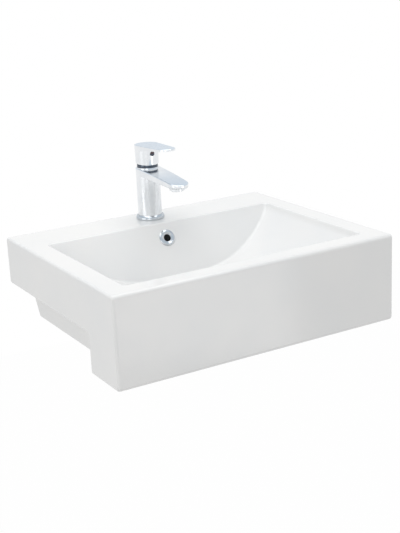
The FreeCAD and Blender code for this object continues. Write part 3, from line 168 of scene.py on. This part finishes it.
def glazed_china():
    """Vitreous china fired with a white glaze: a deep gloss over a slightly wavy skin.
    Undersides and the wall face are left unglazed, a dull and warmer bisque. Inside the overflow duct the
    china is painted dark grey-brown as shade."""
    material, tree, out = blank_material("glazed_vitreous_china")
    place = add_node(tree, "ShaderNodeTexCoord").outputs["Object"]
    wave = add_node(tree, "ShaderNodeTexNoise", {"Scale": 1 / GLAZE_WAVE, "Detail": 2.0}, {
        "Vector": place})
    cloud = add_node(tree, "ShaderNodeTexNoise", {"Scale": 1 / GLAZE_CLOUD, "Detail": 2.0}, {
        "Vector": place})
    grit = add_node(tree, "ShaderNodeTexNoise", {"Scale": 1 / BISQUE_GRIT, "Detail": 4.0}, {
        "Vector": place})
    tint = add_node(tree, "ShaderNodeMapRange", NOISE_SPAN, {"Value": cloud.outputs["Fac"]})
    speck = add_node(tree, "ShaderNodeMapRange", NOISE_SPAN, {"Value": grit.outputs["Fac"]})
    gloss = add_node(tree, "ShaderNodeMapRange", {**NOISE_SPAN, "To Min": 0.10, "To Max": 0.15}, {
        "Value": wave.outputs["Fac"]})
    bare = bare_clay(tree, place)
    white = add_node(tree, "ShaderNodeMix", {
        "data_type": "RGBA", COLOUR_A: srgb("#f3f3f2"), COLOUR_B: srgb("#eff0f0")}, {
        "Factor": tint.outputs[0]})
    # Painted shade: dark grey-brown inside the overflow duct, mixed over the glaze's white
    glaze_and_duct_shade = add_node(tree, "ShaderNodeMix", {"data_type": "RGBA", COLOUR_B: srgb("#4a4743")}, {
        "Factor": duct_shade_mask(tree, place), COLOUR_A: white.outputs[COLOUR_OUT]})
    clay = add_node(tree, "ShaderNodeMix", {
        "data_type": "RGBA", COLOUR_A: srgb("#efece5"), COLOUR_B: srgb("#e8e4da")}, {
        "Factor": speck.outputs[0]})
    colour = add_node(tree, "ShaderNodeMix", {"data_type": "RGBA"}, {
        "Factor": bare, COLOUR_A: glaze_and_duct_shade.outputs[COLOUR_OUT], COLOUR_B: clay.outputs[COLOUR_OUT]})
    rough = add_node(tree, "ShaderNodeMix", {"data_type": "FLOAT", NUMBER_B: 0.7}, {
        "Factor": bare, NUMBER_A: gloss.outputs[0]})
    bump = add_node(tree, "ShaderNodeBump", {"Strength": 0.05, "Distance": 0.4 * MM}, {
        "Height": wave.outputs["Fac"]})
    shader = add_node(tree, "ShaderNodeBsdfPrincipled", {"IOR": 1.52}, {
        "Base Color": colour.outputs[COLOUR_OUT], "Roughness": rough.outputs[NUMBER_OUT],
        "Normal": bump.outputs[0]})
    tree.links.new(shader.outputs[0], out.inputs["Surface"])
    return material


def bare_clay(tree, place):
    """1 where the china is unglazed: faces that look down, and the face against the wall."""
    normal = add_node(tree, "ShaderNodeNewGeometry").outputs["Normal"]
    facing = add_node(tree, "ShaderNodeSeparateXYZ", None, {0: normal})
    depth = add_node(tree, "ShaderNodeSeparateXYZ", None, {0: place}).outputs["Y"]
    down = add_node(tree, "ShaderNodeMapRange", FACING_DOWN, {"Value": facing.outputs["Z"]})
    back = add_node(tree, "ShaderNodeMapRange", FACING_BACK, {"Value": facing.outputs["Y"]})
    at_wall = add_node(tree, "ShaderNodeMapRange", NEAR_WALL, {"Value": depth})
    wall = add_node(tree, "ShaderNodeMath", {"operation": "MULTIPLY"}, {
        0: back.outputs[0], 1: at_wall.outputs[0]})
    bare = add_node(tree, "ShaderNodeMath", {"operation": "MAXIMUM"}, {
        0: down.outputs[0], 1: wall.outputs[0]})
    return bare.outputs[0]


def duct_shade_mask(tree, place):
    """1 inside the overflow duct, whose china is painted dark as shade where it shows through its ring, and
    0 elsewhere.
    """
    slant = math.radians(BACK_SLANT)
    backwards = (0.0, math.cos(slant), -math.sin(slant))
    behind = add_node(tree, "ShaderNodeVectorMath", {"operation": "DOT_PRODUCT", 1: backwards}, {
        0: place}).outputs["Value"]
    face = -(BACK_DECK * math.cos(slant) + RIM_Z * math.sin(slant))
    near = add_node(tree, "ShaderNodeMath", {"operation": "GREATER_THAN", 1: face + DUCT_NEAR}, {
        0: behind})
    far = add_node(tree, "ShaderNodeMath", {"operation": "LESS_THAN", 1: face + DUCT_FAR}, {
        0: behind})
    parts = add_node(tree, "ShaderNodeSeparateXYZ", None, {0: place})
    low = add_node(tree, "ShaderNodeMath", {"operation": "LESS_THAN", 1: DECK_UNDER_Z}, {
        0: parts.outputs["Z"]})
    half = add_node(tree, "ShaderNodeMath", {"operation": "ABSOLUTE"}, {0: parts.outputs["X"]})
    narrow = add_node(tree, "ShaderNodeMath", {"operation": "LESS_THAN", 1: DUCT_HALF}, {
        0: half.outputs[0]})
    between = add_node(tree, "ShaderNodeMath", {"operation": "MULTIPLY"}, {
        0: near.outputs[0], 1: far.outputs[0]})
    below = add_node(tree, "ShaderNodeMath", {"operation": "MULTIPLY"}, {
        0: low.outputs[0], 1: narrow.outputs[0]})
    inside = add_node(tree, "ShaderNodeMath", {"operation": "MULTIPLY"}, {
        0: between.outputs[0], 1: below.outputs[0]})
    return inside.outputs[0]


def surface(name, light, dark, rough, grain_mm, bump_mm, settings):
    """A finish with a fine grain that shifts its colour, polish and level a little all over."""
    material, tree, out = blank_material(name)
    place = add_node(tree, "ShaderNodeTexCoord").outputs["Object"]
    grain = add_node(tree, "ShaderNodeTexNoise", {"Scale": 1 / (grain_mm * MM), "Detail": 3.0}, {
        "Vector": place})
    share = add_node(tree, "ShaderNodeMapRange", NOISE_SPAN, {"Value": grain.outputs["Fac"]})
    polish = add_node(tree, "ShaderNodeMapRange", {
        **NOISE_SPAN, "To Min": rough[0], "To Max": rough[1]}, {"Value": grain.outputs["Fac"]})
    colour = add_node(tree, "ShaderNodeMix", {
        "data_type": "RGBA", COLOUR_A: srgb(light), COLOUR_B: srgb(dark)}, {"Factor": share.outputs[0]})
    bump = add_node(tree, "ShaderNodeBump", {"Strength": 0.3, "Distance": bump_mm * MM}, {
        "Height": grain.outputs["Fac"]})
    shader = add_node(tree, "ShaderNodeBsdfPrincipled", settings, {
        "Base Color": colour.outputs[COLOUR_OUT], "Roughness": polish.outputs[0],
        "Normal": bump.outputs[0]})
    tree.links.new(shader.outputs[0], out.inputs["Surface"])
    return material


def index_finish():
    """Dark moulded plug, tinted red above and blue below for hot and cold."""
    material, tree, out = blank_material("moulded_index_plug")
    low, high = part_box("index_plug")
    middle = (low.z + high.z) / 2
    place = add_node(tree, "ShaderNodeTexCoord").outputs["Object"]
    height = add_node(tree, "ShaderNodeSeparateXYZ", None, {0: place}).outputs["Z"]
    upper = add_node(tree, "ShaderNodeMapRange", {
        "From Min": middle - INDEX_BLEND, "From Max": middle + INDEX_BLEND}, {"Value": height})
    marks = add_node(tree, "ShaderNodeMix", {
        "data_type": "RGBA", COLOUR_A: srgb("#3f4757"), COLOUR_B: srgb("#594244")}, {
        "Factor": upper.outputs[0]})
    skin = add_node(tree, "ShaderNodeTexNoise", {"Scale": 1 / INDEX_SKIN, "Detail": 3.0}, {
        "Vector": place})
    rough = add_node(tree, "ShaderNodeMapRange", {**NOISE_SPAN, "To Min": 0.22, "To Max": 0.34}, {
        "Value": skin.outputs["Fac"]})
    shader = add_node(tree, "ShaderNodeBsdfPrincipled", {"IOR": 1.49}, {
        "Base Color": marks.outputs[COLOUR_OUT], "Roughness": rough.outputs[0]})
    tree.links.new(shader.outputs[0], out.inputs["Surface"])
    return material


METAL = {"Metallic": 1.0}
china = glazed_china()
# Bright nickel-chrome plate over polished brass: a slightly soft mirror with faint polishing waves.
chrome = surface("polished_chrome_plate", "#ebedef", "#e3e6e9",
                 rough=(0.13, 0.18), grain_mm=22, bump_mm=0.012, settings=METAL)
# Satin chrome plate on the base ring and the overflow ring: a greyer, softer mirror.
satin_chrome = surface("satin_chrome_plate", "#cfd2d4", "#c4c7ca",
                       rough=(0.16, 0.24), grain_mm=6, bump_mm=0.012, settings=METAL)
# Chrome plate on the dome, darkened as painted shade, as dark as the gap under the handle looks.
dome_gap_shade_chrome = surface("chrome_painted_gap_shade", "#5b626c", "#4b525c",
                       rough=(0.08, 0.14), grain_mm=12, bump_mm=0.012, settings=METAL)
# Machined brass, left bare: yellow, with turning marks too fine to show, so only a soft grain is drawn.
brass = surface("machined_brass", "#cfae6a", "#b8944e",
                rough=(0.26, 0.40), grain_mm=1.5, bump_mm=0.02, settings=METAL)
# Zinc-plated and stainless steel: grey with a dull sheen.
steel = surface("zinc_plated_steel", "#c4c6c7", "#a9acae",
                rough=(0.28, 0.42), grain_mm=2.0, bump_mm=0.02, settings=METAL)
# Black moulded seal rubber: matt and slightly grainy.
rubber = surface("moulded_black_rubber", "#222223", "#191919",
                 rough=(0.62, 0.78), grain_mm=0.9, bump_mm=0.067, settings={"IOR": 1.5})
# Grey acetal mouldings: waxy, half dull.
acetal = surface("moulded_grey_acetal", "#8f9195", "#85878b",
                 rough=(0.38, 0.50), grain_mm=1.2, bump_mm=0.04, settings={"IOR": 1.48})
# White acetal mouldings: the same wax-like skin, undyed.
white_plastic = surface("moulded_white_acetal", "#e8e8e4", "#dfdfda",
                        rough=(0.38, 0.50), grain_mm=1.2, bump_mm=0.04, settings={"IOR": 1.48})
# Lapped alumina discs: ivory, fine and flat.
alumina = surface("lapped_alumina", "#ece6da", "#e4dccd",
                  rough=(0.22, 0.30), grain_mm=0.6, bump_mm=0.007, settings={"IOR": 1.76})
FINISHES = {
    "china": china, "chrome": chrome, "brass": brass, "steel": steel, "rubber": rubber,
    "grey_plastic": acetal, "white_plastic": white_plastic, "index": index_finish(), "disc": alumina,
}


def finish(piece, slot):
    """Give a piece its finish and smooth shading with crisp edges, without moving its points."""
    piece.data.materials.clear()
    piece.data.materials.append(FINISHES[slot])
    for face in piece.data.polygons:
        face.material_index = 0
        face.use_smooth = True
    weld = piece.modifiers.new("weld", "WELD")
    weld.merge_threshold = WELD_GAP
    split = piece.modifiers.new("crisp_edges", "EDGE_SPLIT")
    split.split_angle = math.radians(CRISP_ANGLE)
    even = piece.modifiers.new("even_normals", "WEIGHTED_NORMAL")
    even.weight = FACE_WEIGHT
    even.keep_sharp = True


for subpart in frame["record"]["subparts"]:
    finish(nodes[subpart["node"]], subpart["material_slot"])
# The dome's dark chrome is painted shade of the gap under the handle.
nodes["dress_dome"].data.materials[0] = dome_gap_shade_chrome
nodes["tap_base_ring"].data.materials[0] = satin_chrome
nodes["overflow_ring"].data.materials[0] = satin_chrome


# Steps shared by the pieces made here

def select_only(piece):
    """Make a piece the only one that the next operators act on."""
    bpy.ops.object.select_all(action="DESELECT")
    piece.select_set(True)
    bpy.context.view_layer.objects.active = piece


def merge_doubles(piece):
    """Join the points of a piece that lie on each other."""
    select_only(piece)
    bpy.ops.object.mode_set(mode="EDIT")
    bpy.ops.mesh.select_all(action="SELECT")
    bpy.ops.mesh.remove_doubles(threshold=MERGE_GAP)
    bpy.ops.object.mode_set(mode="OBJECT")


def select_open_edges(piece):
    """Go into edit mode with the edges of a piece's open ends selected."""
    select_only(piece)
    bpy.ops.object.mode_set(mode="EDIT")
    bpy.ops.mesh.select_mode(type="EDGE")
    bpy.ops.mesh.select_all(action="DESELECT")
    bpy.ops.mesh.select_non_manifold(extend=False)


def shift(piece, step):
    """Move a piece's points, with its object left at the origin."""
    for vertex in piece.data.vertices:
        vertex.co += Vector(step)


def at_radius(point, radius, height):
    """A point set to a radius about the upright axis, and to a height."""
    reach = math.hypot(point.x, point.y)
    return point.x * radius / reach, point.y * radius / reach, height


# Handle

def lever_handle():
    """The handle with its lever at the photograph's slope: flatter, higher behind and lower at the tip."""
    piece = bpy.data.objects.new("lever_handle", nodes["handle"].data.copy())
    bpy.context.scene.collection.objects.link(piece)
    merge_doubles(piece)
    ring_low, ring_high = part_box("tap_base_ring")
    axis_y = (ring_low.y + ring_high.y) / 2
    reach = axis_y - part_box("handle")[0].y
    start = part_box("index_plug")[1].z + LEVER_CLEAR
    for vertex in piece.data.vertices:
        share = (axis_y - vertex.co.y) / reach
        weight = min(1.0, max(0.0, (vertex.co.z - start) / LEVER_EASE))
        vertex.co.z += weight * (LEVER_RAISE - (LEVER_RAISE + LEVER_DROP) * share)
    finish(piece, "chrome")
    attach(piece, "mixer_lever")
    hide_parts("handle")


lever_handle()


# Threads and spring

def tooth(pitch, core, crest):
    """One tooth of a screw thread as an open run of three edges, beside the upright axis."""
    bpy.ops.object.select_all(action="DESELECT")
    bpy.ops.mesh.primitive_plane_add(size=1, rotation=(math.radians(90), 0, 0))
    piece = bpy.context.object
    bpy.ops.object.transform_apply(rotation=True)
    for vertex in piece.data.vertices:
        upper = vertex.co.z > 0
        if vertex.co.x > 0:
            vertex.co = (crest, 0, (CREST_HIGH if upper else CREST_LOW) * pitch)
        else:
            vertex.co = (core, 0, pitch if upper else 0)
    bpy.ops.object.mode_set(mode="EDIT")
    bpy.ops.mesh.select_all(action="SELECT")
    bpy.ops.mesh.delete(type="ONLY_FACE")
    bpy.ops.mesh.select_mode(type="EDGE")
    bpy.ops.mesh.select_all(action="DESELECT")
    bpy.ops.object.mode_set(mode="OBJECT")
    points = piece.data.vertices
    for edge in piece.data.edges:
        edge.select = all(points[i].co.x < (core + crest) / 2 for i in edge.vertices)
    bpy.ops.object.mode_set(mode="EDIT")
    bpy.ops.mesh.delete(type="EDGE")
    bpy.ops.object.mode_set(mode="OBJECT")
    return piece


def wind(piece, pitch, turns):
    """Sweep a profile up a helix about the upright axis."""
    helix = piece.modifiers.new("helix", "SCREW")
    helix.screw_offset = pitch
    helix.iterations = turns
    helix.steps = TURN_STEPS
    helix.render_steps = TURN_STEPS
    helix.use_merge_vertices = True
    select_only(piece)
    bpy.ops.object.modifier_apply(modifier="helix")
    merge_doubles(piece)


def run_out(piece, low, high, radius):
    """Draw the thread's two ragged ends out to level rings at low and high."""
    middle = (low + high) / 2
    for level, is_low in ((low, True), (high, False)):
        select_open_edges(piece)
        bpy.ops.object.mode_set(mode="OBJECT")
        points = piece.data.vertices
        for edge in piece.data.edges:
            below = all(points[i].co.z < middle for i in edge.vertices)
            at_end = any(abs(points[i].co.z - level) < LEVEL_GAP for i in edge.vertices)
            edge.select = edge.select and below == is_low and not at_end
        for vertex in points:
            vertex.select = False
        for edge in piece.data.edges:
            if edge.select:
                for i in edge.vertices:
                    points[i].select = True
        bpy.ops.object.mode_set(mode="EDIT")
        bpy.ops.mesh.extrude_edges_move()
        bpy.ops.object.mode_set(mode="OBJECT")
        for vertex in piece.data.vertices:
            if vertex.select:
                vertex.co = at_radius(vertex.co, radius, level)


def close_ends(piece, bore):
    """Cap both ends, or join them by a sleeve wall of radius bore inside the metal."""
    merge_doubles(piece)
    select_open_edges(piece)
    if bore:
        bpy.ops.mesh.extrude_edges_move()
        bpy.ops.object.mode_set(mode="OBJECT")
        for vertex in piece.data.vertices:
            if vertex.select:
                vertex.co = at_radius(vertex.co, bore, vertex.co.z)
        bpy.ops.object.mode_set(mode="EDIT")
        bpy.ops.mesh.bridge_edge_loops()
    else:
        bpy.ops.mesh.edge_face_add()
    bpy.ops.mesh.select_all(action="SELECT")
    bpy.ops.mesh.normals_make_consistent(inside=False)
    bpy.ops.object.mode_set(mode="OBJECT")


def thread(name, x, y, low, high, core, crest, pitch, bore=0.0):
    """Screw thread about an upright axis: a tooth swept up a helix and run out at both ends."""
    turns = int((high - low) / pitch) - 1
    piece = tooth(pitch, core, crest)
    piece.name = name
    wind(piece, pitch, turns)
    spare = (high - low) - (turns + 1) * pitch
    shift(piece, (0, 0, low + spare / 2))
    run_out(piece, low, high, core)
    close_ends(piece, bore)
    shift(piece, (x, y, 0))
    select_only(piece)
    bpy.ops.object.shade_smooth_by_angle(angle=math.radians(THREAD_ANGLE))
    return piece


def stud_thread():
    """M8 stud under the tap, threaded from end to end."""
    low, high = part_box("fixing_stud")
    x, y = (low.x + high.x) / 2, (low.y + high.y) / 2
    radius = (high.x - low.x) / 2
    root = radius - STUD_DEPTH * STUD_PITCH
    piece = thread("threaded_stud", x, y, low.z, high.z, root, radius, STUD_PITCH)
    piece.data.materials.append(steel)
    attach(piece, "basin")
    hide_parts("fixing_stud")


def tail_thread():
    """Pipe thread on the waste's tail, a little proud of the plain tail."""
    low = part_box("waste_body")[0].z
    bottom = low + TAIL_LOW_GAP
    top = low + TAIL_LENGTH - TAIL_HIGH_GAP
    root = TAIL_RADIUS + TAIL_ROOT_STEP
    crest = TAIL_RADIUS + TAIL_CREST_STEP
    bore = TAIL_RADIUS + TAIL_BORE_STEP
    piece = thread("waste_tail_thread", 0.0, WASTE_Y, bottom, top, root, crest, TAIL_PITCH, bore)
    piece.data.materials.append(chrome)
    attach(piece, "basin")


def return_spring():
    """Spring under the plug: round wire wound up a helix, which shortens as the plug is pressed."""
    low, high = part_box("click_spring")
    height = high.z - low.z
    radius = (high.x - low.x) / 2 - SPRING_WIRE
    bpy.ops.object.select_all(action="DESELECT")
    bpy.ops.mesh.primitive_circle_add(
        vertices=WIRE_SIDES, radius=SPRING_WIRE, location=(radius, 0, 0), rotation=(math.radians(90), 0, 0))
    piece = bpy.context.object
    piece.name = "return_spring"
    bpy.ops.object.transform_apply(location=True, rotation=True)
    wind(piece, (height - 2 * SPRING_WIRE) / SPRING_TURNS, SPRING_TURNS)
    close_ends(piece, 0.0)
    shift(piece, (0, WASTE_Y, low.z + SPRING_WIRE))
    select_only(piece)
    bpy.ops.object.shade_smooth_by_angle(angle=math.radians(WIRE_ANGLE))
    piece.data.materials.append(steel)
    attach(piece, "basin")
    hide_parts("click_spring")
    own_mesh(piece)


stud_thread()
tail_thread()
return_spring()


# Stage, lights and camera

def floor():
    """Pale studio floor, white to the eye and to mirrors."""
    bpy.ops.object.select_all(action="DESELECT")
    bpy.ops.mesh.primitive_plane_add(size=FLOOR_SIZE, location=(0, 0, FLOOR_Z))
    plane = bpy.context.object
    plane.name = "studio_floor"
    material, tree, out = blank_material("pale_floor")
    path = add_node(tree, "ShaderNodeLightPath")
    seen = add_node(tree, "ShaderNodeMath", {"operation": "MAXIMUM"}, {
        0: path.outputs["Is Camera Ray"], 1: path.outputs["Is Glossy Ray"]})
    share = add_node(tree, "ShaderNodeMath", {"operation": "MULTIPLY", 1: FLOOR_WHITE}, {
        0: seen.outputs[0]})
    paint = add_node(tree, "ShaderNodeBsdfDiffuse", {"Color": srgb("#f4f4f4")})
    glow = add_node(tree, "ShaderNodeEmission", {"Color": srgb("#ffffff"), "Strength": 1.0})
    both = add_node(tree, "ShaderNodeMixShader", None, {
        0: share.outputs[0], 1: paint.outputs[0], 2: glow.outputs[0]})
    tree.links.new(both.outputs[0], out.inputs["Surface"])
    plane.data.materials.append(material)


def surroundings():
    """White room to the eye, an even dimmer light on the object, and for mirrors a pale blue
    strip level with the eye and a pale blue ceiling, so that bright metal shows its form."""
    world = bpy.data.worlds.new("white_room")
    bpy.context.scene.world = world
    world.use_nodes = True
    tree = world.node_tree
    tree.nodes.clear()
    path = add_node(tree, "ShaderNodeLightPath")
    eye = add_node(tree, "ShaderNodeMath", {"operation": "MAXIMUM"}, {
        0: path.outputs["Is Camera Ray"], 1: path.outputs["Is Transmission Ray"]})
    seen = add_node(tree, "ShaderNodeMath", {"operation": "MAXIMUM"}, {
        0: eye.outputs[0], 1: path.outputs["Is Glossy Ray"]})
    strength = add_node(tree, "ShaderNodeMapRange", {"To Min": AMBIENT, "To Max": 1.0}, {
        "Value": seen.outputs[0]})
    ray = add_node(tree, "ShaderNodeTexCoord").outputs["Generated"]
    height = add_node(tree, "ShaderNodeSeparateXYZ", None, {0: ray}).outputs["Z"]
    above = add_node(tree, "ShaderNodeMapRange", STRIP_FOOT, {"Value": height})
    under = add_node(tree, "ShaderNodeMapRange", STRIP_HEAD, {"Value": height})
    strip = add_node(tree, "ShaderNodeMath", {"operation": "MULTIPLY"}, {
        0: above.outputs[0], 1: under.outputs[0]})
    ceiling = add_node(tree, "ShaderNodeMapRange", CEILING_EDGE, {"Value": height})
    blue = add_node(tree, "ShaderNodeMath", {"operation": "MAXIMUM"}, {
        0: strip.outputs[0], 1: ceiling.outputs[0]})
    mirrored = add_node(tree, "ShaderNodeMath", {"operation": "MULTIPLY"}, {
        0: blue.outputs[0], 1: path.outputs["Is Glossy Ray"]})
    hue = add_node(tree, "ShaderNodeMix", {
        "data_type": "RGBA", COLOUR_A: srgb("#ffffff"), COLOUR_B: srgb("#dae5f0")}, {
        "Factor": mirrored.outputs[0]})
    back = add_node(tree, "ShaderNodeBackground", None, {
        "Color": hue.outputs[COLOUR_OUT], "Strength": strength.outputs[0]})
    out = tree.nodes.new("ShaderNodeOutputWorld")
    tree.links.new(back.outputs[0], out.inputs["Surface"])


def softbox(name, place, target, size, watts):
    """Rectangular studio light, turned to face a target."""
    light = bpy.data.lights.new(name, "AREA")
    light.shape = "RECTANGLE"
    light.size, light.size_y = size
    light.energy = watts
    lamp = bpy.data.objects.new(name, light)
    bpy.context.scene.collection.objects.link(lamp)
    lamp.location = place
    lamp.rotation_euler = (Vector(target) - Vector(place)).to_track_quat("-Z", "Y").to_euler()


def camera():
    """The photograph's own view: a long lens a little above the rim, turned to the basin's left."""
    lens = bpy.data.cameras.new("photo_camera")
    lens.lens = LENS_MM
    lens.sensor_width = SENSOR_MM
    lens.sensor_fit = "AUTO"
    eye = bpy.data.objects.new("photo_camera", lens)
    bpy.context.scene.collection.objects.link(eye)
    eye.location = EYE_PLACE
    eye.rotation_euler = [math.radians(angle) for angle in EYE_TURN]
    bpy.context.scene.camera = eye


floor()
surroundings()
# Each softbox is at least as bright as the white room, so that none shows as a dark shape in the chrome.
softbox("overhead", place=(0.0, -0.25, 1.9), target=(0, -0.25, 0), size=(2.1, 1.9), watts=21)
softbox("left_front", place=(-1.0, -1.35, 0.25), target=(-0.2, -0.4, -0.05), size=(0.68, 0.68), watts=1.5)
softbox("front_low", place=(0.72, -1.90, -0.50), target=(0, -0.44, -0.04), size=(0.6, 0.5), watts=1.3)
softbox("left", place=(-2.0, -0.3, 0.3), target=(-0.28, -0.25, 0), size=(1.1, 1.1), watts=4.0)
camera()
bpy.context.scene.view_settings.view_transform = "Standard"
